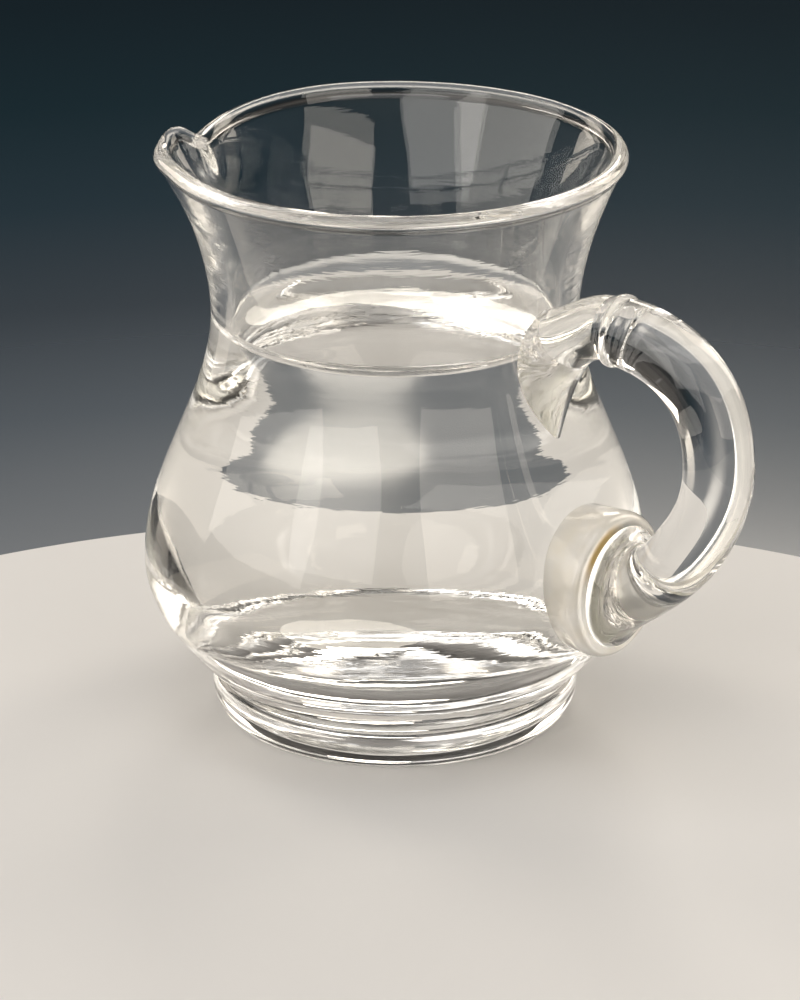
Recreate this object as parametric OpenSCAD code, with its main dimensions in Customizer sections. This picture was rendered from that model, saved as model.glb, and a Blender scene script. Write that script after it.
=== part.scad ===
// Altar cruet: a small glass jug with a pulled lip, a solid foot and one looped handle.
// The foot stands on z = 0, the bowl turns about the Z axis and the handle lies along +X.

/* [Bowl] */
// Radius of the belly at its widest
belly_r = 38.6; // [36:0.1:42]
// Height of the widest part of the belly
belly_z = 24.7; // [22:0.1:28]
// Radius of the neck at its narrowest
neck_r = 27.9; // [25:0.1:30]
// Height of the narrowest part of the neck
neck_z = 64.3; // [61:0.1:67]
// Radius of the wall just under the rim bead
mouth_r = 34.2; // [32:0.1:37]
// Total height of the cruet
total_h = 90; // [86:0.5:96]
// Radius of the round bead along the rim
bead_r = 1.3; // [1:0.05:1.6]
// Wall thickness at the belly
belly_wall = 3.4; // [2.4:0.1:4.5]
// Wall thickness at the neck
neck_wall = 2.9; // [2.2:0.1:3.6]
// Wall thickness just under the rim
mouth_wall = 2.4; // [2:0.1:2.6]
// Height of the inside floor at its centre
floor_z = 11.8; // [9:0.1:14]

/* [Pouring lip] */
// Direction of the lip round the bowl, in degrees from the handle
lip_angle = 220.5; // [190:0.5:240]
// How far the lip is pulled out beyond the round rim
lip_reach = 1.15; // [0:0.05:2]
// Half of the angle that the lip takes up on the rim
lip_spread = 11; // [9:0.5:18]
// How far the rim is pinched in beside the lip
pinch_depth = 3.2; // [0:0.1:3.5]
// How far the pinched rim is drawn round towards the lip, in degrees
pinch_swing = 10; // [0:0.5:10]
// How far the lip's edge is curled up next to the pinch
curl_rise = 1.3; // [0:0.1:1.6]

/* [Foot] */
// Radius of the flat face that it stands on
foot_rest_r = 26.1; // [22:0.1:27]
// Radius of the foot at its widest
foot_r = 28.3; // [27.8:0.1:30]
// Height of the foot, up to the crease under the bowl
foot_h = 6.6; // [5:0.1:8]
// Radius of the crease between the foot and the bowl
crease_r = 27.6; // [26:0.1:27.7]

/* [Handle] */
// Radius of the handle's cane
cane_r = 5.3; // [4.5:0.1:6]
// Distance of the grip's centreline from the bowl's axis
grip_x = 59.9; // [56:0.1:64]
// Height of the handle's upper end
upper_z = 69.8; // [68:0.1:71]
// Height of the centre of the lower pad
pad_z = 29.6; // [27:0.1:31]
// Radius of the lower pad
pad_r = 11.2; // [10:0.1:13]
// Distance of the lower pad's front face from the bowl's axis
pad_front_x = 43; // [42:0.1:45]
// Distance of the upper seal's end face from the bowl's axis
seal_end_x = 40; // [37:0.1:42]
// Height of the tip of the upper seal's tail
tail_z = 50.4; // [48:0.1:54]
// Half of the width of the upper seal's leaf on the wall
leaf_w = 5.7; // [4.5:0.1:6.5]

/* [Hidden] */
$fn = 96;
clear_glass = "#dbe4e8";
milky_glass = "#e6dfcb";

// Point at t on the cubic curve with control points p
function bezier(p, t) = pow(1 - t, 3) * p[0] + 3 * pow(1 - t, 2) * t * p[1]
    + 3 * (1 - t) * t * t * p[2] + pow(t, 3) * p[3];

// Direction of that curve at t, of length 1
function heading(p, t) = let (d = pow(1 - t, 2) * (p[1] - p[0]) + 2 * (1 - t) * t * (p[2] - p[1])
    + t * t * (p[3] - p[2])) d / norm(d);

// Points on the curve from t = a to t = b, in n steps
function stretch(p, n, a = 0, b = 1) = [for (i = [0:n]) bezier(p, a + (b - a) * i / n)];

// Smooth hump of height 1 about a centre angle
function hump(angle, centre, width) = exp(-pow((angle - centre) / width, 2));

// Smooth step from 0 to 1 as t goes from 0 to 1
function ease(t) = let (u = min(1, max(0, t))) u * u * (3 - 2 * u);

// Angle brought into the range -180 to 180
function turn(angle) = angle - 360 * round(angle / 360);

// Profile curves, each as radius and height
bead_z = total_h - bead_r;
wall_top_z = bead_z - 1.2;
flare_z1 = neck_z + 5.7;
flare_z2 = neck_z + 14.3;
outer_base = [[crease_r, foot_h], [crease_r + 3.5, foot_h + 4.1], [belly_r, belly_z - 7.8],
    [belly_r, belly_z]];
outer_side = [[belly_r, belly_z], [belly_r, belly_z + 14.2], [neck_r, neck_z - 13.8], [neck_r, neck_z]];
outer_flare = [[neck_r, neck_z], [neck_r, flare_z1], [neck_r + 2, flare_z2], [mouth_r, wall_top_z]];
hollow_r = belly_r - belly_wall;
hollow_z = belly_z + 1.3;
throat_r = neck_r - neck_wall;
inner_base = [[0, floor_z], [0.62 * hollow_r, floor_z], [hollow_r, floor_z + 4.2], [hollow_r, hollow_z]];
inner_side = [[hollow_r, hollow_z], [hollow_r, hollow_z + 14], [throat_r, neck_z - 13.8], [throat_r, neck_z]];
inner_flare = [[throat_r, neck_z], [throat_r, flare_z1], [throat_r + 2.2, flare_z2],
    [mouth_r - mouth_wall, wall_top_z]];

// Above this place on the flare the wall follows the lip, so it is no longer round
seam_t = 0.6;
seam_z = bezier(outer_flare, seam_t)[1];
tongue_t = seam_t - 0.04;
tongue_inset = [0.18, 0];
around = 120;
// Directions of the mouth's columns, closer together at the lip
crowding = 34;
columns = [for (i = [0:around - 1]) let (a = 360 * i / around) lip_angle - 22 + a - crowding * sin(a)];

// Bead of the rim, from the outside wall over the top to the inside wall
bead_start = asin((wall_top_z - bead_z) / bead_r);
bead_centre_r = mouth_r - bead_r * cos(bead_start);
bead_arc = [for (i = [0:7]) let (a = bead_start + (180 - bead_start) * i / 7)
    [bead_centre_r + bead_r * cos(a), bead_z + bead_r * sin(a)]];

// Section of the mouth: a tongue in the wall below, the outside, the bead and the inside
mouth_out = stretch(outer_flare, 6, seam_t, 1);
mouth_in = stretch(inner_flare, 6, 1, seam_t);
tongue_out = [for (t = [tongue_t, seam_t]) bezier(outer_flare, t) - tongue_inset];
tongue_in = [for (t = [seam_t, tongue_t]) bezier(inner_flare, t) + tongue_inset];
mouth_section = concat(tongue_out, [for (i = [1:5]) mouth_out[i]], bead_arc, [for (i = [0:5]) mouth_in[i]],
    tongue_in);

// The pinch on one side of the lip: steep next to the lip, then fading out along the rim
pinch_start = 9.7;
pinch_run = 19.2;
pinch_end = 25.4;
pinch_fade = 56;
swing_fade = 84;
function pinch(side, fade) = ease((side - pinch_start) / pinch_run) * (1 - ease((side - pinch_end) / fade));

// How far the rim moves out, round and up at an angle from the lip's middle
function lip_push(side) = lip_reach * hump(side, 1.2, lip_spread) - pinch_depth * pinch(side, pinch_fade);
function lip_swing(side) = pinch_swing * pinch(side, swing_fade);
function lip_lift(side) = curl_rise * hump(side, 15.5, 7.6) - 0.2 * pinch_depth * pinch(side, pinch_fade);

// Line of the rim from above; the share of the lip's movement is 0 at the seam and 1 at the bead
function lip_share(z) = ease(1.15 * (z - seam_z) / (total_h - seam_z));
function rim_line(angle, share) = let (
    side = turn(lip_angle - angle),
    line_angle = angle + share * lip_swing(side)
) (bead_centre_r + share * lip_push(side)) * [cos(line_angle), sin(line_angle)];

// A point of the mouth's section: the rim's line is moved first, and the wall then stands square to that line
function mouth_point(p, angle) = let (
    share = lip_share(p[1]),
    along = rim_line(angle + 0.5, share) - rim_line(angle - 0.5, share),
    across = [along[1], -along[0]] / norm(along),
    place = rim_line(angle, share) + (p[0] - bead_centre_r) * across
) [place[0], place[1], p[1] + share * lip_lift(turn(lip_angle - angle))];

// The bowl's outside as a solid of turning, which the seals are fitted to
outer_turned = concat([[0, foot_h]], stretch(outer_base, 14),
    [for (p = stretch(outer_side, 22)) if (p[1] > belly_z) p],
    [for (p = stretch(outer_flare, 9, 0, seam_t)) if (p[1] > neck_z) p]);

module bowl() {
    inner_turned = concat(stretch(inner_flare, 9, seam_t, 0),
        [for (p = stretch(inner_side, 22, 1, 0)) if (p[1] < neck_z) p],
        [for (p = stretch(inner_base, 14, 1, 0)) if (p[1] < hollow_z) p]);
    color(clear_glass) {
        rotate_extrude() polygon(concat(outer_turned, inner_turned));
        mouth();
    }
}

// Flared mouth with its bead and lip, as rings of the section round the axis
module mouth() {
    n = len(mouth_section);
    points = [for (angle = columns) for (p = mouth_section) mouth_point(p, angle)];
    faces = [for (i = [0:around - 1]) for (j = [0:n - 1])
        let (a = i * n + j, b = ((i + 1) % around) * n + j, up = (j + 1) % n - j)
        each [[a, a + up, b + up], [a, b + up, b]]];
    polyhedron(points, faces);
}

module foot() {
    side = [[foot_rest_r, 0], [foot_rest_r + 1.2, 0.7], [foot_r, 2.4], [foot_r, foot_h - 1.6]];
    color(clear_glass) rotate_extrude() polygon(concat([[0, 0]], stretch(side, 10),
        [[crease_r, foot_h], [0, foot_h]]));
}

// The space that the bowl fills, inside and all, below the seam
module bowl_space() {
    rotate_extrude() polygon(concat(outer_turned, [[0, seam_z]]));
}

// Outline of the seal's leaf on the wall: sideways place and height at an angle round its middle
leaf_top_z = upper_z + 0.4;
leaf_mid_z = upper_z - 7.8;
tail_taper = 0.5;
function leaf_y(angle) = leaf_w * sin(angle) * (1 - tail_taper * pow(max(0, -cos(angle)), 2));
function leaf_z(angle) = leaf_mid_z
    + cos(angle) * (cos(angle) > 0 ? leaf_top_z - leaf_mid_z : leaf_mid_z - tail_z);

// Radius of the bowl's outside at a height
wall_table = [for (p = outer_turned) if (p[0] > 0) [p[1], p[0]]];

// Curve of the seal's skin at an angle round it: out of the cane's end, then over the leaf's thick edge
// to the wall; underneath it sinks in between the two, and towards the tail it lies lower
end_pull = 4.5;
under_sink = 2.5;
edge_rise = 2.6;
tail_rise = 1.4;
tail_slant = 4.5;
function seal_curve(angle) = let (
    down = max(0, -cos(angle)),
    y = leaf_y(angle),
    z = leaf_z(angle),
    wall_r = lookup(z, wall_table),
    seat = [sqrt(wall_r * wall_r - y * y), y, z],
    start = [seal_end_x, seal_end_r * sin(angle), upper_z + seal_end_r * cos(angle)],
    leave = start - [end_pull + under_sink * down, 0, down],
    rise = edge_rise + (tail_rise - edge_rise) * down,
    arrive = seat + rise * [seat[0], y, 0] / wall_r + [0, 0, tail_slant * down * down]
) [start, leave, arrive, seat];

// The cane's end is pressed on the wall as a leaf, drawn down to a tail, and rises to meet the cane
module upper_handle_seal() {
    sides = 40;
    steps = 14;
    root_depth = 1.5;
    curves = [for (k = [0:sides - 1]) seal_curve(360 * k / sides)];
    rings = [for (i = [0:steps - 1]) [for (c = curves) bezier(c, i / steps)]];
    root = [for (c = curves) c[3] - root_depth * [c[3][0], c[3][1], 0] / norm([c[3][0], c[3][1]])];
    middle = [lookup(leaf_mid_z, wall_table) - root_depth, 0, leaf_mid_z];
    last = steps * sides;
    faces = concat([[for (k = [0:sides - 1]) k]],
        [for (i = [0:steps - 1]) for (k = [0:sides - 1])
            let (a = i * sides + k, next = (k + 1) % sides - k)
            each [[a, a + sides, a + sides + next], [a, a + sides + next, a + next]]],
        [for (k = [0:sides - 1]) [last + sides, last + (k + 1) % sides, last + k]]);
    color(clear_glass) difference() {
        polyhedron(concat([for (r = rings) each r], root, [middle]), faces);
        bowl_space();
    }
}

// Centreline of the cane: out from the seal, down the grip and back in to the pad
grip_z = 52;
cane_upper = [[seal_end_x, upper_z], [seal_end_x + 11.5, upper_z], [grip_x, grip_z + 12.5], [grip_x, grip_z]];
cane_lower = [[grip_x, grip_z], [grip_x, grip_z - 11], [pad_front_x + 5, pad_z], [pad_front_x, pad_z]];
flare_start = 0.45;
flare_power = 3.6;
seal_end_r = cane_r - 0.5;
collar_rise = 0.5;
collar_t = 0.05;
collar_width = 0.025;
pad_front_r = pad_r - 1.9;

// Radius of the cane: thinner at the seal with a low collar beside it, and opening towards the pad
function upper_cane_r(t) = cane_r - (cane_r - seal_end_r) * pow(1 - t, 16)
    + collar_rise * hump(t, collar_t, collar_width);
function lower_cane_r(t) = let (along = max(0, (t - flare_start) / (1 - flare_start)))
    cane_r + (pad_front_r - cane_r) * pow(along, flare_power);

// Direction of the rings below the grip: from straight down to straight in, slow at both ends, so the
// widening rings at the pad stay side by side and none cuts into the one before it
function lower_heading(t) = [-sin(90 * ease(t)), -cos(90 * ease(t))];

// Ring of n points about c, in the plane across the direction d
function ring(c, d, r, n) = [for (k = [0:n - 1])
    let (a = 360 * k / n) [c[0] - r * cos(a) * d[1], -r * sin(a), c[1] + r * cos(a) * d[0]]];

module handle_rod() {
    sides = 32;
    steps = 18;
    collar_steps = [0, 0.015, 0.03, 0.05, 0.07, 0.085, 0.11, 0.14];
    upper_steps = concat(collar_steps, [for (i = [4:steps]) i / steps]);
    lower_steps = concat([for (i = [1:steps - 2]) i / steps], [0.92, 0.945, 0.97, 0.985, 1]);
    rings = concat(
        [for (t = upper_steps) ring(bezier(cane_upper, t), heading(cane_upper, t), upper_cane_r(t), sides)],
        [for (t = lower_steps) ring(bezier(cane_lower, t), lower_heading(t), lower_cane_r(t), sides)]);
    last = len(rings) - 1;
    faces = concat([[for (k = [0:sides - 1]) k], [for (k = [sides - 1:-1:0]) last * sides + k]],
        [for (i = [0:last - 1]) for (k = [0:sides - 1])
            let (a = i * sides + k, next = (k + 1) % sides - k)
            each [[a, a + sides, a + sides + next], [a, a + sides + next, a + next]]]);
    color(clear_glass) polyhedron([for (r = rings) each r], faces);
}

module lower_handle_pad() {
    back_x = belly_r - 6;
    shoulder = [[belly_r + 1.6, pad_r], [pad_front_x - 1.2, pad_r + 0.1], [pad_front_x - 0.1, pad_r - 0.3],
        [pad_front_x, pad_front_r]];
    disc = concat([[back_x, 0], [back_x, pad_r - 0.8]], stretch(shoulder, 9), [[pad_front_x, 0]]);
    color(milky_glass) difference() {
        translate([0, 0, pad_z]) rotate([0, 90, 0]) rotate_extrude() polygon([for (p = disc) [p[1], p[0]]]);
        bowl_space();
    }
}

bowl();
foot();
upper_handle_seal();
handle_rod();
lower_handle_pad();
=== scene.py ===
import math
import bpy
import numpy as np
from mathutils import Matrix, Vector


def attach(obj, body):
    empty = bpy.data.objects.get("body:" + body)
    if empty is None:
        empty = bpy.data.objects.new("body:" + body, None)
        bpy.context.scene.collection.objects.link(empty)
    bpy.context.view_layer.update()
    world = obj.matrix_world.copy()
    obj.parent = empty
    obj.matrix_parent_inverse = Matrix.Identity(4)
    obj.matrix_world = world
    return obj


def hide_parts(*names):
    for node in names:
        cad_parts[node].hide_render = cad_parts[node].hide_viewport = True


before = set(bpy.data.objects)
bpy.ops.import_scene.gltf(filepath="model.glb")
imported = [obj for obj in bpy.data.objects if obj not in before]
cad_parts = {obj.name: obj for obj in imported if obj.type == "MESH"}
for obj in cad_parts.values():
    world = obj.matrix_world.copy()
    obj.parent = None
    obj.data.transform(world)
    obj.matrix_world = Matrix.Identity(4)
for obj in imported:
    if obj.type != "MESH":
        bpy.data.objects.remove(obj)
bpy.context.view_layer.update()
print("frame loaded:", sorted(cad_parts))

mm = 0.001  # all shapes below are worked out in millimetres
sharpAngle = 40  # degrees; a sharper fold between two faces stays an edge


# points on a cubic curve: the four control points weighted by the Bernstein terms of t
# a control point is one point or a whole ring of them
def curve(points, t):
    p = np.asarray(points, float)
    t = np.asarray(t, float).reshape(-1, *[1] * (p.ndim - 1))
    u = 1 - t
    return u ** 3 * p[0] + 3 * u ** 2 * t * p[1] + 3 * u * t ** 2 * p[2] + t ** 3 * p[3]


# unit direction of the same curve: its slope, brought to length 1
def heading(points, t):
    p = np.asarray(points, float)
    t = np.asarray(t, float)[:, None]
    u = 1 - t
    slope = u ** 2 * (p[1] - p[0]) + 2 * u * t * (p[2] - p[1]) + t ** 2 * (p[3] - p[2])
    return slope / np.linalg.norm(slope, axis=1, keepdims=True)


# smooth step from 0 to 1: 3u^2 - 2u^3
def ease(t):
    u = np.clip(t, 0, 1)
    return u * u * (3 - 2 * u)


# bell of height 1 about a centre: e to the power of minus the squared distance in widths
def hump(x, centre, width):
    return np.exp(-((x - centre) / width) ** 2)


# parts of a section joined end to end, each with its material number
# a band of faces between two rows takes the number of its far row
def joinParts(parts):
    section = np.concatenate([points for points, _ in parts])
    slots = np.repeat([slot for _, slot in parts], [len(points) for points, _ in parts])[1:]
    return section, slots


# points of radius and height along a level line from one radius to another
def level(fromR, toR, z, rows):
    return np.stack([np.linspace(fromR, toR, rows), np.full(rows, z)], axis=1)


# closed skin over rings of points: rows run from one pole to the other, columns run round
# rings has the shape (rows, around, 3); its first and last rows are single points
# slots gives the material number of each band; joint, if given, tells for each point whether it lies
# under a joint (-1), on its outline (0) or away from it (1), and the faces under it take the last material
def skinPiece(name, rings, slots, materials, joint=None):
    rows, around = rings.shape[:2]
    inner = rings[1:-1].reshape(-1, 3)
    verts = np.concatenate([rings[:1, 0], inner, rings[-1:, 0]])
    last = len(verts) - 1
    i = np.arange(around)
    j = (i + 1) % around
    start = 1 + np.arange(rows - 3)[:, None] * around
    quads = np.stack([start + i, start + j, start + around + j, start + around + i], axis=-1).reshape(-1, 4)
    firstFan = np.stack([np.zeros_like(i), 1 + j, 1 + i], axis=-1)
    top = 1 + (rows - 3) * around
    lastFan = np.stack([np.full_like(i, last), top + i, top + j], axis=-1)
    slots = np.repeat(np.asarray(slots)[:, None], around, axis=1)
    midSlots = slots[1:-1].reshape(-1)
    a, b, c = (verts[quads[:, k]] for k in (0, 1, 2))
    volume = np.sum(a * np.cross(b, c))
    if volume < 0:  # turn the faces so that they point outwards
        quads, firstFan, lastFan = quads[:, ::-1], firstFan[:, ::-1], lastFan[:, ::-1]
    if joint is not None:  # cut each face in two, along the outline where two of its corners lie on it
        state = np.concatenate([joint[:1, 0], joint[1:-1].reshape(-1), joint[-1:, 0]])
        crossing = (state[quads[:, 1]] == 0) & (state[quads[:, 3]] == 0)
        plainCut, crossCut = quads[:, [0, 1, 2, 0, 2, 3]], quads[:, [0, 1, 3, 1, 2, 3]]
        quads = np.where(crossing[:, None], crossCut, plainCut).reshape(-1, 3)
        midSlots = np.repeat(midSlots, 2)
        midSlots[(state[quads] <= 0).all(axis=1)] = len(materials) - 1
    mesh = bpy.data.meshes.new(name)
    mesh.from_pydata((verts * mm).tolist(), [], firstFan.tolist() + quads.tolist() + lastFan.tolist())
    faceSlots = np.concatenate([slots[0], midSlots, slots[-1]])
    for material in materials:
        mesh.materials.append(material)
    mesh.polygons.foreach_set("material_index", faceSlots.astype(np.int32))
    mesh.polygons.foreach_set("use_smooth", np.ones(len(mesh.polygons), bool))
    mesh.set_sharp_from_angle(angle=math.radians(sharpAngle))
    mesh.update()
    piece = bpy.data.objects.new(name, mesh)
    bpy.context.scene.collection.objects.link(piece)
    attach(piece, "root")
    print("made", name, "with", len(mesh.polygons), "faces")
    return piece


# sRGB hex to linear colour
def tint(code):
    srgb = np.array([int(code[k:k + 2], 16) for k in (1, 3, 5)]) / 255
    linear = np.where(srgb <= 0.04045, srgb / 12.92, ((srgb + 0.055) / 1.055) ** 2.4)
    return (*linear.tolist(), 1.0)


# one node with its settings, its values and its links
def node(tree, kind, links=None, values=None, **settings):
    made = tree.nodes.new(kind)
    for key, value in settings.items():
        setattr(made, key, value)
    for key, value in (values or {}).items():
        made.inputs[key].default_value = value
    for key, source in (links or {}).items():
        tree.links.new(source, made.inputs[key])
    return made


# colour stops put on a ramp, their places running from low to high
def setStops(ramp, stops, low, high):
    elements = ramp.color_ramp.elements
    for k, (place, colour) in enumerate(stops):
        stop = elements[k] if k < 2 else elements.new(1.0)
        stop.position = (place - low) / (high - low)
        stop.color = tint(colour)


# a new node material with its shader linked to the output
def newMaterial(name):
    material = bpy.data.materials.new(name)
    material.use_nodes = True
    tree = material.node_tree
    tree.nodes.clear()
    shader = node(tree, "ShaderNodeBsdfPrincipled")
    node(tree, "ShaderNodeOutputMaterial", {"Surface": shader.outputs["BSDF"]})
    return material, tree, shader


# Blown soda-lime glass, fire-polished: clear, with drawn lines and slow waves from the making that make
# the edges of what is seen through it ragged
glassLook = {
    "colour": "#fefefd",
    "ior": 1.51,
    "waterIor": 1.333,
    "drawnLineMm": 1.6,  # spacing of the drawn lines
    "lineStretch": 0.08,  # scale of their noise across the wall, as a share of its scale up the wall
    "waveMm": 14,  # length of the slow waves
    "blownMarks": (0.1, 0.012),  # heights in mm of the slow waves and the drawn lines on the blown wall
    "solidMarks": (0.03, 0.002),  # the same on the solid gathers, which are nearly free of them
}


# marks are the heights of the slow waves and the drawn lines in mm; without them the surface is even
def glassMaterial(name, ior, colour, marks=None):
    material, tree, shader = newMaterial(name)
    shader.inputs["Base Color"].default_value = tint(colour)
    shader.inputs["Roughness"].default_value = 0.0
    shader.inputs["IOR"].default_value = ior
    shader.inputs["Transmission Weight"].default_value = 1.0
    if marks:
        waveHeight, lineHeight = (height * mm for height in marks)
        across = glassLook["lineStretch"]
        place = node(tree, "ShaderNodeTexCoord")
        # the lines run round the axis: stretched noise, fine up the wall and long across it
        flat = node(tree, "ShaderNodeMapping", {"Vector": place.outputs["Object"]},
                    {"Scale": (across, across, 1.0)})
        lines = node(tree, "ShaderNodeTexNoise", {"Vector": flat.outputs["Vector"]},
                     {"Scale": 1 / (glassLook["drawnLineMm"] * mm), "Detail": 3.0, "Roughness": 0.6})
        waves = node(tree, "ShaderNodeTexNoise", {"Vector": place.outputs["Object"]},
                     {"Scale": 1 / (glassLook["waveMm"] * mm), "Detail": 1.0})
        first = node(tree, "ShaderNodeBump", {"Height": waves.outputs["Fac"]},
                     {"Strength": 1.0, "Distance": waveHeight})
        second = node(tree, "ShaderNodeBump",
                      {"Height": lines.outputs["Fac"], "Normal": first.outputs["Normal"]},
                      {"Strength": 1.0, "Distance": lineHeight})
        tree.links.new(second.outputs["Normal"], shader.inputs["Normal"])
    return material


glassColour, glassIor, waterIor = glassLook["colour"], glassLook["ior"], glassLook["waterIor"]
clearGlass = glassMaterial("blown_soda_lime_glass", glassIor, glassColour, glassLook["blownMarks"])
# the same glass where water lies on it: light bends there by the ratio of the two
wetGlass = glassMaterial("blown_glass_under_water", glassIor / waterIor, glassColour,
                         glassLook["blownMarks"])
# solid gathers worked with tools and flame: nearly free of waves
solidGlass = glassMaterial("solid_soda_lime_glass", glassIor, glassColour, glassLook["solidMarks"])
# where two gathers are fused there is no surface to see: light goes straight on
fusedGlass = glassMaterial("fused_glass_joint", 1.0, "#ffffff")
# the wet glass already bends the light, so the water's own side does not bend it again
wetSide = glassMaterial("water_against_glass", 1.0, "#ffffff")
# water standing open to the air: clear, its surface as smooth as a mirror
stillWater = glassMaterial("still_water", waterIor, "#fefefe")

# Cast glass full of fine bubbles: cream and cloudy, half see-through, with an amber stain along its joint
milkyLook = {
    "roughness": 0.28,
    "through": 0.5,  # share of the light that goes through
    "skin": (0.8, 0.03),  # weight and roughness of the fire-polished skin
    "cloudMm": 6,  # size of the clouds
    "cloudTones": [(0.35, "#faf5e9"), (0.7, "#fefdfa")],  # place on the noise, colour
    "stainTone": "#d9b25e",
    "stainEdge": (42.4, 42.9),  # mm along X, where it starts and where it is full
    "stainMiddle": (43.0, -5.4, 37.2),  # mm
    "stainReach": (7.0, 2.0),  # mm from its middle, where it ends and where it is full
}


def milkyMaterial():
    look = milkyLook
    material, tree, shader = newMaterial("milky_cast_glass")
    shader.inputs["Roughness"].default_value = look["roughness"]
    shader.inputs["IOR"].default_value = glassIor
    shader.inputs["Transmission Weight"].default_value = look["through"]
    shader.inputs["Coat Weight"].default_value = look["skin"][0]
    shader.inputs["Coat Roughness"].default_value = look["skin"][1]
    place = node(tree, "ShaderNodeTexCoord")
    cloud = node(tree, "ShaderNodeTexNoise", {"Vector": place.outputs["Object"]},
                 {"Scale": 1 / (look["cloudMm"] * mm), "Detail": 3.0})
    shade = node(tree, "ShaderNodeValToRGB", {"Fac": cloud.outputs["Fac"]})
    setStops(shade, look["cloudTones"], 0, 1)
    # the stain is a short arc in the groove: close to the front edge along X, fading away from its middle
    split = node(tree, "ShaderNodeSeparateXYZ", {"Vector": place.outputs["Object"]})
    edgeStart, edgeFull = (v * mm for v in look["stainEdge"])
    edge = node(tree, "ShaderNodeMapRange", {"Value": split.outputs["X"]},
                {"From Min": edgeStart, "From Max": edgeFull}, interpolation_type="SMOOTHSTEP")
    away = node(tree, "ShaderNodeVectorMath", {0: place.outputs["Object"]},
                {1: tuple(v * mm for v in look["stainMiddle"])}, operation="DISTANCE")
    reachEnd, reachFull = (v * mm for v in look["stainReach"])
    near = node(tree, "ShaderNodeMapRange", {"Value": away.outputs["Value"]},
                {"From Min": reachEnd, "From Max": reachFull}, interpolation_type="SMOOTHSTEP")
    stain = node(tree, "ShaderNodeMath", {0: edge.outputs["Result"], 1: near.outputs["Result"]},
                 operation="MULTIPLY")
    mixed = node(tree, "ShaderNodeMix", {"Factor": stain.outputs["Value"]}, data_type="RGBA")
    tree.links.new(shade.outputs["Color"], mixed.inputs["A"])
    mixed.inputs["B"].default_value = tint(look["stainTone"])
    tree.links.new(mixed.outputs["Result"], shader.inputs["Base Color"])
    return material


milkyGlass = milkyMaterial()
print("materials made")

# Bowl: the driving sizes of the blown vessel, as in the part's own source; mm, and degrees round the rim
bowl = {
    "bellyR": 38.585, "bellyZ": 24.7, "neckR": 27.9, "neckZ": 64.3, "mouthR": 34.2, "height": 90.0,
    "bellyWall": 3.4, "neckWall": 2.9, "mouthWall": 2.4, "floorZ": 11.8, "footH": 6.6, "creaseR": 27.6,
    "beadR": 1.3,
    "beadSeat": 1.2,  # the wall ends this far under the bead's middle
    "hollowRise": 1.3,  # the hollow is widest this far over the belly's widest place
    "flareRise": (5.7, 14.3),  # the flare's two middle control points over the neck
    "seamPlace": 0.6,  # share of the flare above which the wall moves with the lip
    "lipBlend": 1.15,  # over 1, it moves the whole way from a little under the rim's top
    "lipAngle": 220.5, "lipReach": 1.15, "lipMiddle": 1.2, "lipSpread": 11.0,
    "curlRise": 1.25, "curlPlace": 15.5, "curlSpread": 7.6,
    "pinchDepth": 3.2, "pinchStart": 9.7, "pinchRun": 19.2, "pinchEnd": 25.4, "pinchFade": 56.0,
    "pinchSink": 0.2,  # share of the pinch's depth by which the rim sinks there
    "pinchSwing": 10.0, "swingFade": 84.0,
    "around": 280, "columnStart": 198,
    "columnDraw": (0.25, 0.12),  # how far the columns draw together near the lip, in radians
    "rows": {"face": 8, "base": 40, "side": 66, "flare": 50, "bead": 22,
             "innerFlare": 50, "innerSide": 60, "innerBase": 50},
}
beadZ = bowl["height"] - bowl["beadR"]
wallTopZ = beadZ - bowl["beadSeat"]
flareZ = [bowl["neckZ"] + rise for rise in bowl["flareRise"]]
hollowR = bowl["bellyR"] - bowl["bellyWall"]
hollowZ = bowl["bellyZ"] + bowl["hollowRise"]
throatR = bowl["neckR"] - bowl["neckWall"]
# the wall's curves: four control points of radius and height each; the offsets in mm set how full it is
outerBase = [(bowl["creaseR"], bowl["footH"]), (bowl["creaseR"] + 3.5, bowl["footH"] + 4.1),
             (bowl["bellyR"], bowl["bellyZ"] - 7.8), (bowl["bellyR"], bowl["bellyZ"])]
outerSide = [(bowl["bellyR"], bowl["bellyZ"]), (bowl["bellyR"], bowl["bellyZ"] + 14.2),
             (bowl["neckR"], bowl["neckZ"] - 13.8), (bowl["neckR"], bowl["neckZ"])]
outerFlare = [(bowl["neckR"], bowl["neckZ"]), (bowl["neckR"], flareZ[0]),
              (bowl["neckR"] + 2, flareZ[1]), (bowl["mouthR"], wallTopZ)]
innerBase = [(0, bowl["floorZ"]), (0.62 * hollowR, bowl["floorZ"]),
             (hollowR, bowl["floorZ"] + 4.2), (hollowR, hollowZ)]
innerSide = [(hollowR, hollowZ), (hollowR, hollowZ + 14),
             (throatR, bowl["neckZ"] - 13.8), (throatR, bowl["neckZ"])]
innerFlare = [(throatR, bowl["neckZ"]), (throatR, flareZ[0]),
              (throatR + 2.2, flareZ[1]), (bowl["mouthR"] - bowl["mouthWall"], wallTopZ)]
seamZ = curve(outerFlare, [bowl["seamPlace"]])[0, 1]
beadStart = math.asin((wallTopZ - beadZ) / bowl["beadR"])
beadCentreR = bowl["mouthR"] - bowl["beadR"] * math.cos(beadStart)

# the outside wall as one fine line, to read its radius from
steps = np.linspace(0, 1, 400)
outerLine = np.concatenate([curve(outerBase, steps), curve(outerSide, steps)[1:],
                            curve(outerFlare, steps)[1:]])


# radius of the outside wall at a height, read off that line
def wallR(z):
    return np.interp(z, outerLine[:, 1], outerLine[:, 0])


# the pinch on one side of the lip: steep next to the lip, then fading out along the rim
def pinch(side, fade):
    deepening = ease((side - bowl["pinchStart"]) / bowl["pinchRun"])
    return deepening * (1 - ease((side - bowl["pinchEnd"]) / fade))


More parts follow.
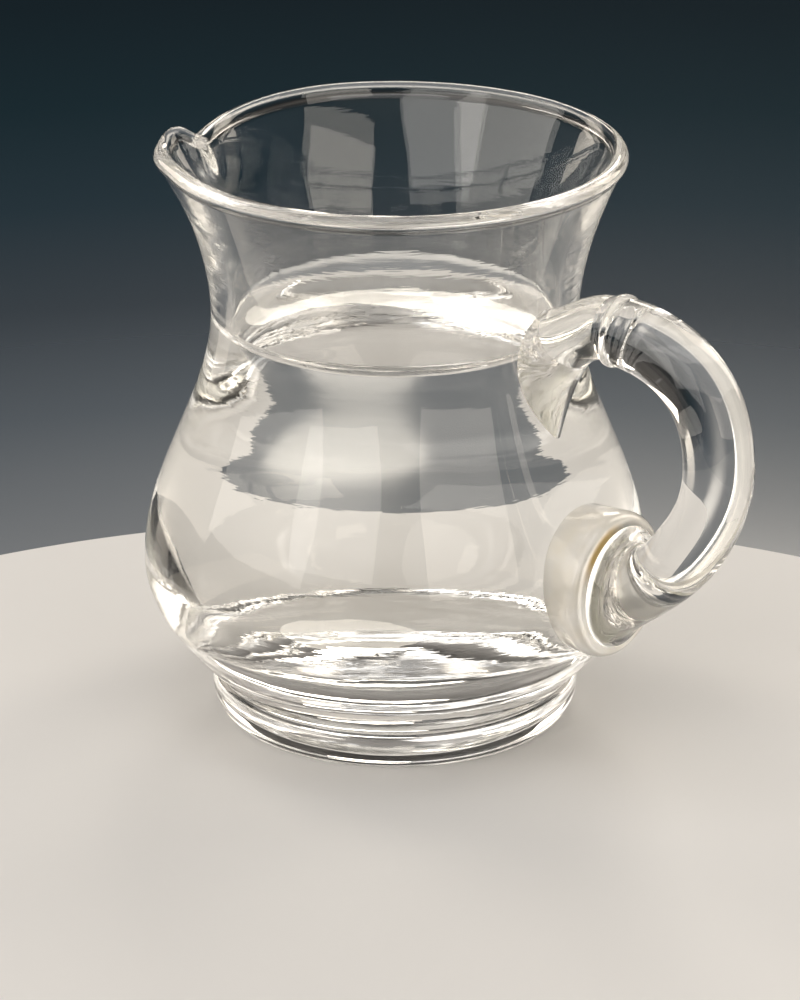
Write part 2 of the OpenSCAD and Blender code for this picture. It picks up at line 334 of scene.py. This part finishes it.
# how far the rim moves out, round and up at an angle from the lip's middle: bells for the lip and its curl,
# the pinch for the dent beside it
def lipPush(side):
    out = bowl["lipReach"] * hump(side, bowl["lipMiddle"], bowl["lipSpread"])
    return out - bowl["pinchDepth"] * pinch(side, bowl["pinchFade"])


def lipSwing(side):
    return np.radians(bowl["pinchSwing"]) * pinch(side, bowl["swingFade"])


def lipLift(side):
    curl = bowl["curlRise"] * hump(side, bowl["curlPlace"], bowl["curlSpread"])
    return curl - bowl["pinchSink"] * bowl["pinchDepth"] * pinch(side, bowl["pinchFade"])


# angle from the lip's middle, in degrees
def fromLip(angle):
    return (bowl["lipAngle"] - np.degrees(angle) + 180) % 360 - 180


# line of the rim from above: the bead's circle, moved out and round by a share of the lip's movement
def rimLine(angle, share):
    side = fromLip(angle)
    lineAngle = angle + share * lipSwing(side)
    reach = beadCentreR + share * lipPush(side)
    return np.stack([reach * np.cos(lineAngle), reach * np.sin(lineAngle)])


# directions of the columns round the axis: an even turn less two sines, which draw them together
def columns(around):
    turn = np.linspace(0, 2 * np.pi, around, endpoint=False)
    once, twice = bowl["columnDraw"]
    return math.radians(bowl["columnStart"]) + turn - once * np.sin(turn) - twice * np.sin(2 * turn)


# turning a section of radius and height round the axis; towards the rim its line is first moved with the
# lip, and the wall then stands square to that line
def turned(section, around):
    r, z = section[:, 0, None], section[:, 1, None]
    angle = columns(around)[None]
    share = ease(bowl["lipBlend"] * (z - seamZ) / (bowl["height"] - seamZ))
    half = math.radians(0.5)  # the line's direction is read over one degree
    along = rimLine(angle + half, share) - rimLine(angle - half, share)
    across = np.stack([along[1], -along[0]]) / np.linalg.norm(along, axis=0)
    x, y = rimLine(angle, share) + (r - beadCentreR) * across
    return np.stack([x, y, z + share * lipLift(fromLip(angle))], axis=-1)


# Joints of the handle on the wall: a leaf-shaped seal above and a round pad below; mm
seal = {
    "endX": 40.0, "endZ": 69.8, "endR": 4.8, "leafZ": 62.0, "leafTop": 70.2, "tailZ": 50.4,
    "halfWidth": 5.7,
    "tailNarrow": 0.5,  # share by which the oval is narrowed towards its tail
    "leave": 4.5,  # the loft's pull in from the cane's end
    "leaveBelow": (2.5, 0, 1.0),  # how much further in and down on its under side
    "arrive": (2.6, 1.2),  # its pull out from the wall, and how much less on its under side
    "arriveUp": (0.4, 4.5),  # its pull up the wall, and how much more towards the tail
    "around": 128, "rows": {"cap": 6, "loft": 44, "contact": 16},
}
pad = {
    "z": 29.6, "r": 11.2, "frontX": 43.0, "frontR": 9.3, "seatR": 10.9,
    "shoulder": [(0.1, -0.3), (1.2, 0.1), (2.8, 0.0)],  # behind the front, past the radius
    "around": 128, "rows": {"front": 8, "shoulder": 24, "edge": 10, "contact": 14},
}
jointGap = 0.02  # fused faces stand a hair apart, so that no two faces lie in one place


# outline of the leaf on the wall: an oval drawn down to a point, as half-width and height round its middle
def leafOutline(alpha):
    up = np.cos(alpha)
    above, below = seal["leafTop"] - seal["leafZ"], seal["leafZ"] - seal["tailZ"]
    z = seal["leafZ"] + np.where(up > 0, up * above, up * below)
    narrow = 1 - seal["tailNarrow"] * np.maximum(0, -up) ** 2
    return seal["halfWidth"] * np.sin(alpha) * narrow, z


# a point of the wall at a sideways place and height, on the handle's side
def onWall(y, z):
    return np.stack([np.sqrt((wallR(z) + jointGap) ** 2 - y ** 2), y, z], axis=-1)


# the wall's points round the joints: of each edge that crosses the outline of the leaf or the pad, the
# nearer end is moved onto it along its ray from the middle; the result tells which points lie under (-1),
# on the outline (0) and away (1)
def fitJoints(points):
    leafY, leafZ = leafOutline(np.linspace(-np.pi, np.pi, 721))  # half a degree apart
    leafRay = np.arctan2(leafY, leafZ - seal["leafZ"])
    leafReach = np.hypot(leafY, leafZ - seal["leafZ"])
    state = np.ones(points.shape[:2], int)
    for middle, reachAt in ((seal["leafZ"], lambda ray: np.interp(ray, leafRay, leafReach)),
                            (pad["z"], lambda ray: np.full_like(ray, pad["seatR"]))):
        x, y, z = np.moveaxis(points, -1, 0)
        ray, away = np.arctan2(y, z - middle), np.hypot(y, z - middle)
        reach = reachAt(ray)
        front = x > 0
        gap = away - reach
        state[front & (gap < 0)] = -1
        snap = np.zeros(gap.shape, bool)
        for step, line in ((1, 0), (-1, 0), (1, 1), (-1, 1)):
            beside = np.roll(gap, step, line)
            snap |= front & (gap * beside < 0) & (np.abs(gap) <= np.abs(beside))
        state[snap] = 0
        y = np.where(snap, reach * np.sin(ray), y)
        z = np.where(snap, middle + reach * np.cos(ray), z)
        x = np.where(snap, np.sqrt(np.maximum(wallR(z) ** 2 - y ** 2, 0)), x)
        points[:] = np.stack([x, y, z], axis=-1)
    return state


# the bowl's section runs from the middle of the base out along the fused face, up the outside, over the
# bead and down inside, and is turned round the axis
def makeBowl():
    dry, wet, fused = 0, 1, 2  # places in the list of materials
    rows = bowl["rows"]
    face = level(0, bowl["creaseR"], bowl["footH"], rows["face"])
    # each curve leaves out its first point, where the line before it ends
    outside = np.concatenate([curve(outerBase, np.linspace(0, 1, rows["base"])[1:]),
                              curve(outerSide, np.linspace(0, 1, rows["side"])[1:]),
                              curve(outerFlare, np.linspace(0, 1, rows["flare"])[1:])])
    beadAngles = np.linspace(beadStart, math.pi, rows["bead"])[1:]
    bead = np.stack([beadCentreR + bowl["beadR"] * np.cos(beadAngles),
                     beadZ + bowl["beadR"] * np.sin(beadAngles)], axis=1)
    section, slots = joinParts([
        (face, fused),
        (outside, dry),
        (bead, dry),
        (curve(innerFlare, np.linspace(1, 0, rows["innerFlare"])), dry),
        (curve(innerSide, np.linspace(1, 0, rows["innerSide"])[1:]), wet),
        (curve(innerBase, np.linspace(1, 0, rows["innerBase"])[1:]), wet),
    ])
    rings = turned(section, bowl["around"])
    outer = slice(len(face), len(face) + len(outside))
    joint = np.ones(rings.shape[:2], int)
    joint[outer] = fitJoints(rings[outer])
    piece = skinPiece("bowl_glass", rings, slots, [clearGlass, wetGlass, fusedGlass], joint=joint)
    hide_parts("bowl")


# Foot: a solid disc turned from a flat face, a rounded side and the fused face under the bowl; mm
foot = {
    "restR": 26.1, "r": 28.3, "shoulderDrop": 1.6,
    "flatEdge": 0.1,  # a ring this close to the edge keeps the flat face flat to its rim
    "around": 240, "rows": {"flat": 11, "side": 30, "shoulder": 12, "face": 8},
}


def makeFoot():
    clear, fused = 0, 1
    rows = foot["rows"]
    top, r, restR = bowl["footH"] - jointGap, foot["r"], foot["restR"]
    sideTop = top - foot["shoulderDrop"]
    # control points of radius and height, as in the bowl's curves
    side = [(restR, 0), (restR + 1.2, 0.7), (r, 2.4), (r, sideTop)]
    shoulder = [(r, sideTop), (r, top - 0.9), (r - 0.3, top - 0.3), (bowl["creaseR"], top)]
    section, slots = joinParts([
        (level(0, restR - foot["flatEdge"], 0, rows["flat"]), clear),
        (curve(side, np.linspace(0, 1, rows["side"])), clear),
        (curve(shoulder, np.linspace(0, 1, rows["shoulder"])[1:]), clear),
        (level(bowl["creaseR"], 0, top, rows["face"])[1:], fused),
    ])
    piece = skinPiece("foot_glass", turned(section, foot["around"]), slots, [solidGlass, fusedGlass])
    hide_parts("foot")


# Upper seal: cubic curves lofted from the round end of the cane to the leaf's outline on the wall
def makeUpperSeal():
    clear, fused = 0, 1
    around, rows = seal["around"], seal["rows"]
    alpha = np.linspace(0, 2 * np.pi, around, endpoint=False)
    up, across = np.cos(alpha), np.sin(alpha)
    y, z = leafOutline(alpha)
    seat = onWall(y, z)
    endMiddle = np.array([seal["endX"] - jointGap, 0, seal["endZ"]])
    start = endMiddle + seal["endR"] * np.stack([np.zeros(around), across, up], axis=-1)
    down = np.maximum(0, -up)[:, None]
    leave = start - np.array([seal["leave"], 0, 0]) - down * np.array(seal["leaveBelow"])
    outward = seat * np.array([1, 1, 0])
    outward /= np.linalg.norm(outward, axis=1, keepdims=True)
    out, outLess = seal["arrive"]
    rise, riseMore = seal["arriveUp"]
    arrive = seat + outward * (out - outLess * down) + np.array([0, 0, 1]) * (rise + riseMore * down ** 2)
    loft = curve([start, leave, arrive, seat], np.linspace(0, 1, rows["loft"]))
    cap = endMiddle + np.linspace(0, 1, rows["cap"])[:-1, None, None] * (start - endMiddle)
    grow = np.linspace(1, 0, rows["contact"])[1:, None]
    contact = onWall(grow * y, seal["leafZ"] + grow * (z - seal["leafZ"]))
    rings = np.concatenate([cap, loft, contact])
    slots = np.repeat([fused, clear, fused], [len(cap), len(loft) - 1, len(contact)])
    piece = skinPiece("upper_seal_glass", rings, slots, [solidGlass, fusedGlass])
    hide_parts("upper_handle_seal")


# Cane of the handle: a round section carried along two curves in the handle's plane; below the grip it
# turns from straight down to straight in by a smooth step, so that its widening rings stay side by side
cane = {
    "r": 5.3, "gripX": 59.9, "gripZ": 52.0,
    "upperPull": (11.5, 12.5), "drop": 11.0, "padPull": 5,  # mm from a curve's end to its control point
    "endPower": 16,  # the higher, the shorter the thinning towards the seal
    "collarRise": 0.5, "collarPlace": 0.05, "collarWidth": 0.025,  # mm, then shares of the upper curve
    "flareStart": 0.45,  # share of the lower curve at which it starts to widen
    "flarePower": 3.6,  # the higher, the later it widens
    "around": 96, "rows": {"half": 110, "cap": 6},
}


def makeHandle():
    clear, fused = 0, 1
    rows = cane["rows"]
    sealEnd, padEnd = (seal["endX"], seal["endZ"]), (pad["frontX"], pad["z"])
    grip = (cane["gripX"], cane["gripZ"])
    outPull, upPull = cane["upperPull"]
    upper = [sealEnd, (sealEnd[0] + outPull, sealEnd[1]), (grip[0], grip[1] + upPull), grip]
    lower = [grip, (grip[0], grip[1] - cane["drop"]), (padEnd[0] + cane["padPull"], padEnd[1]), padEnd]
    t = np.linspace(0, 1, rows["half"])
    line = np.concatenate([curve(upper, t), curve(lower, t)[1:]])
    turn = np.pi / 2 * ease(t)
    aim = np.concatenate([heading(upper, t), np.stack([-np.sin(turn), -np.cos(turn)], axis=1)[1:]])
    collar = cane["collarRise"] * hump(t, cane["collarPlace"], cane["collarWidth"])
    upperR = cane["r"] - (cane["r"] - seal["endR"]) * (1 - t) ** cane["endPower"] + collar
    along = np.maximum(0, (t - cane["flareStart"]) / (1 - cane["flareStart"]))
    lowerR = cane["r"] + (pad["frontR"] - cane["r"]) * along ** cane["flarePower"]
    radius = np.concatenate([upperR, lowerR[1:]])[:, None]
    a = np.linspace(0, 2 * np.pi, cane["around"], endpoint=False)[None]
    x = line[:, :1] - radius * np.cos(a) * aim[:, 1:]
    z = line[:, 1:] + radius * np.cos(a) * aim[:, :1]
    tube = np.stack([x, -radius * np.sin(a) * np.ones_like(x), z], axis=-1)
    grow = np.linspace(0, 1, rows["cap"])[:-1, None, None]
    first, last = (np.array([x, 0, z]) for x, z in (line[0], line[-1]))
    rings = np.concatenate([first + grow * (tube[0] - first), tube, last + grow[::-1] * (tube[-1] - last)])
    slots = np.repeat([fused, clear, fused], [len(grow), len(tube) - 1, len(grow)])
    piece = skinPiece("handle_cane_glass", rings, slots, [solidGlass, fusedGlass])
    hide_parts("handle_rod")


# Lower pad: a disc turned about the handle's level line, its back fitted to the wall
def makeLowerPad():
    milky, fused = 0, 1
    rows = pad["rows"]
    frontX = pad["frontX"] - jointGap
    a = np.linspace(0, 2 * np.pi, pad["around"], endpoint=False)
    shoulderPoints = [(frontX - back, pad["r"] + past) for back, past in pad["shoulder"]]
    shoulder = curve([(frontX, pad["frontR"]), *shoulderPoints], np.linspace(0, 1, rows["shoulder"]))
    reach = np.linspace(0, pad["frontR"], rows["front"])[:-1]
    front = np.stack([np.full_like(reach, frontX), reach], axis=1)
    turnedRows = np.concatenate([front, shoulder])
    x = np.repeat(turnedRows[:, :1], pad["around"], axis=1)
    y = turnedRows[:, 1:] * np.sin(a)
    z = pad["z"] + turnedRows[:, 1:] * np.cos(a)
    disc = np.stack([x, y, z], axis=-1)
    seat = onWall(pad["seatR"] * np.sin(a), pad["z"] + pad["seatR"] * np.cos(a))
    edge = disc[-1] + np.linspace(0, 1, rows["edge"])[1:, None, None] * (seat - disc[-1])
    grow = np.linspace(1, 0, rows["contact"])[1:, None]
    contact = onWall(grow * pad["seatR"] * np.sin(a), pad["z"] + grow * pad["seatR"] * np.cos(a))
    rings = np.concatenate([disc, edge, contact])
    slots = np.repeat([fused, milky, fused], [len(front), len(shoulder) - 1 + len(edge), len(contact)])
    piece = skinPiece("lower_pad_glass", rings, slots, [milkyGlass, fusedGlass])
    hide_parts("lower_handle_pad")


# Water: fills the hollow and climbs the wall by the curve of surface tension: with the capillary length a,
# the distance from the wall at a height h over the level is a acosh(2a/h) - 2a sqrt(1 - (h/2a)^2), less its
# value at the wall
water = {
    "capillaryMm": 2.73, "riseMm": 3.4,
    "gapMm": 0.02,  # it stands a hair off the glass
    "rows": {"floor": 50, "side": 60, "creep": 41, "flat": 6},
}


def creep(h):
    a = water["capillaryMm"]
    return a * np.arccosh(2 * a / h) - 2 * a * np.sqrt(1 - (h / (2 * a)) ** 2)


def makeWater():
    surface, side = 0, 1
    rise, gap, rows = water["riseMm"], water["gapMm"], water["rows"]
    wall = np.concatenate([curve(innerBase, np.linspace(0, 1, rows["floor"])),
                           curve(innerSide, np.linspace(0, 1, rows["side"]))[1:]])
    wall = wall - np.array([gap, -gap])
    wall[0, 0] = 0
    edgeR, edgeZ = wall[-1]
    height = rise * np.linspace(1, 0, rows["creep"])[1:-1] ** 2
    away = creep(height) - creep(rise)
    curved = np.stack([edgeR - away, edgeZ - rise + height], axis=1)
    flat = level(curved[-1, 0], 0, edgeZ - rise, rows["flat"])[1:]
    section, slots = joinParts([(wall, side), (curved, surface), (flat, surface)])
    skinPiece("water", turned(section, bowl["around"]), slots, [stillWater, wetSide])


makeBowl()
makeFoot()
makeUpperSeal()
makeHandle()
makeLowerPad()
makeWater()
print("glass and water made")

# Camera: the photograph's viewing angle, aimed a little beside the middle for its framing
cameraAim = {
    "azimuth": 38.0, "elevation": 20.45, "distanceMm": 800.0, "lensMm": 188.5, "sensorMm": 36,
    "middleZ": 45.0, "rightMm": 0.76, "downMm": 11.03,
}

# Studio: a plain pale round floor, a dark polished backdrop under and beyond it whose colour is painted
# darker outwards as a falloff of light, soft lights and a dim room
studio = {
    "floorMiddle": (36.9, -47.3),  # mm, nearer the camera than the cruet stands
    "floorRadius": 137.0,
    "floorZ": -0.05,  # just under the foot, so that no two faces share a plane
    "floorColour": "#dcdcdc",
    "floorRoughness": 0.5,
    "sheetCorners": 256,
    "backdropRadius": 2500.0,
    "backdropZ": -0.35,
    # painted falloff of light: backdrop colours that darken outwards from the floor
    "backdropPaintedFalloff": [(137, "#7a8087"), (197, "#565f69"), (253, "#39434d"), (315, "#213440"),
                      (382, "#0f2833"), (460, "#061d28")],  # mm from the floor's middle, colour
    "backdropIor": 1.55,
    "backdropRoughness": 0.14,
    # height over the horizon as the sine of the elevation, colour
    "room": [(-1.0, "#2a2826"), (0.3, "#35322f"), (0.5, "#4a4540"), (0.75, "#a8a29c"), (1.0, "#a39e99")],
    "roomStrength": 0.75,
    "lightsMeetZ": 50,  # mm, the height on the axis that every light faces
    # degrees to the right of the camera, elevation, distance in m, width and height in m,
    # watts, colour, shape
    "lights": {
        "window_light": (36, 16, 1.1, (0.85, 0.55), 3.3, "#fff6ea", "RECTANGLE"),
        "left_light": (-70, 22, 1.2, (1.3, 0.8), 6.4, "#fff8ef", "RECTANGLE"),
        "front_light": (-30, 30, 1.2, (0.9, 0.9), 4.6, "#fffaf4", "RECTANGLE"),
        "top_light": (10, 80, 1.1, (0.8, 0.8), 2.6, "#ffffff", "RECTANGLE"),
        "back_panel_light": (173, 26, 1.2, (0.42, 0.26), 1.7, "#fff6e8", "ELLIPSE"),
        "left_edge_light": (-132, 30, 0.9, (0.3, 0.9), 2.6, "#fff3e2", "RECTANGLE"),
        "right_edge_light": (130, 30, 0.9, (0.3, 0.9), 2.6, "#fff3e2", "RECTANGLE"),
    },
    "bounces": 200,  # light meets many faces inside solid glass
}


# a flat round sheet: the points of a circle round the floor's middle, joined as one face
def makeSheet(name, radius, z, material):
    corners = studio["sheetCorners"]
    a = np.linspace(0, 2 * np.pi, corners, endpoint=False)
    x, y = studio["floorMiddle"]
    ring = np.stack([x + radius * np.cos(a), y + radius * np.sin(a), np.full(corners, z)], axis=1) * mm
    mesh = bpy.data.meshes.new(name)
    mesh.from_pydata(ring.tolist(), [], [list(range(corners))])
    mesh.materials.append(material)
    sheet = bpy.data.objects.new(name, mesh)
    bpy.context.scene.collection.objects.link(sheet)


# matte painted board: plain and pale, too rough to mirror the lamps
def makeFloor():
    material, _, shader = newMaterial("pale_matte_board")
    shader.inputs["Base Color"].default_value = tint(studio["floorColour"])
    shader.inputs["Roughness"].default_value = studio["floorRoughness"]
    makeSheet("floor", studio["floorRadius"], studio["floorZ"], material)


# polished dark backdrop, its colour painted darker the further it lies from the floor as a painted falloff
# of light; smooth enough to hold a soft image of the lamps
def makeBackdrop():
    material, tree, shader = newMaterial("slate_with_painted_falloff")
    shader.inputs["IOR"].default_value = studio["backdropIor"]
    shader.inputs["Roughness"].default_value = studio["backdropRoughness"]
    place = node(tree, "ShaderNodeTexCoord")
    middle = tuple(v * mm for v in (*studio["floorMiddle"], 0))
    away = node(tree, "ShaderNodeVectorMath", {0: place.outputs["Object"]}, {1: middle},
                operation="DISTANCE")
    reach = studio["backdropPaintedFalloff"][-1][0]
    along = node(tree, "ShaderNodeMath", {0: away.outputs["Value"]}, {1: reach * mm}, operation="DIVIDE")
    ramp = node(tree, "ShaderNodeValToRGB", {"Fac": along.outputs["Value"]})
    setStops(ramp, studio["backdropPaintedFalloff"], 0, reach)
    tree.links.new(ramp.outputs["Color"], shader.inputs["Base Color"])
    makeSheet("backdrop", studio["backdropRadius"], studio["backdropZ"], material)


# unit vector towards an azimuth, counted from -Y round by +X, and an elevation, both in degrees
def towards(azimuth, elevation):
    a, e = math.radians(azimuth), math.radians(elevation)
    return Vector((math.sin(a) * math.cos(e), -math.cos(a) * math.cos(e), math.sin(e)))


# an area light at an azimuth counted to the right of the camera and an elevation, facing the cruet
def softLight(name, azimuth, elevation, distance, size, power, colour, shape):
    light = bpy.data.lights.new(name, "AREA")
    light.shape = shape
    light.size, light.size_y = size
    light.energy = power
    light.color = tint(colour)[:3]
    lamp = bpy.data.objects.new(name, light)
    back = towards(cameraAim["azimuth"] + azimuth, elevation)
    lamp.location = Vector((0, 0, studio["lightsMeetZ"] * mm)) + back * distance
    lamp.rotation_mode = "QUATERNION"
    lamp.rotation_quaternion = (-back).to_track_quat("-Z", "Y")
    bpy.context.scene.collection.objects.link(lamp)


# the room all round: dark low down, pale overhead
def makeRoom():
    world = bpy.data.worlds.new("studio")
    bpy.context.scene.world = world
    world.use_nodes = True
    tree = world.node_tree
    tree.nodes.clear()
    place = node(tree, "ShaderNodeTexCoord")
    split = node(tree, "ShaderNodeSeparateXYZ", {"Vector": place.outputs["Generated"]})
    height = node(tree, "ShaderNodeMapRange", {"Value": split.outputs["Z"]},
                  {"From Min": -1.0, "From Max": 1.0})
    shade = node(tree, "ShaderNodeValToRGB", {"Fac": height.outputs["Result"]})
    setStops(shade, studio["room"], -1, 1)
    sky = node(tree, "ShaderNodeBackground", {"Color": shade.outputs["Color"]},
               {"Strength": studio["roomStrength"]})
    node(tree, "ShaderNodeOutputWorld", {"Surface": sky.outputs["Background"]})


# the camera stands back from the middle along its viewing angle and looks beside it by the framing's
# offsets
def makeCamera():
    back = towards(cameraAim["azimuth"], cameraAim["elevation"])
    a = math.radians(cameraAim["azimuth"])
    right = Vector((math.cos(a), math.sin(a), 0))
    up = back.cross(right)
    middle = Vector((0, 0, cameraAim["middleZ"] * mm))
    data = bpy.data.cameras.new("camera")
    data.sensor_width = cameraAim["sensorMm"]
    data.lens = cameraAim["lensMm"]
    camera = bpy.data.objects.new("camera", data)
    camera.location = middle + back * cameraAim["distanceMm"] * mm
    target = middle + right * cameraAim["rightMm"] * mm - up * cameraAim["downMm"] * mm
    camera.rotation_mode = "QUATERNION"
    camera.rotation_quaternion = (target - camera.location).to_track_quat("-Z", "Y")
    bpy.context.scene.collection.objects.link(camera)
    bpy.context.scene.camera = camera


makeFloor()
makeBackdrop()
for lightName, lightSettings in studio["lights"].items():
    softLight(lightName, *lightSettings)
makeRoom()
makeCamera()
scene = bpy.context.scene
scene.view_settings.view_transform = "Standard"
scene.cycles.use_denoising = True
scene.cycles.max_bounces = studio["bounces"]
scene.cycles.transmission_bounces = studio["bounces"]
scene.cycles.glossy_bounces = studio["bounces"]
print("studio and camera made")
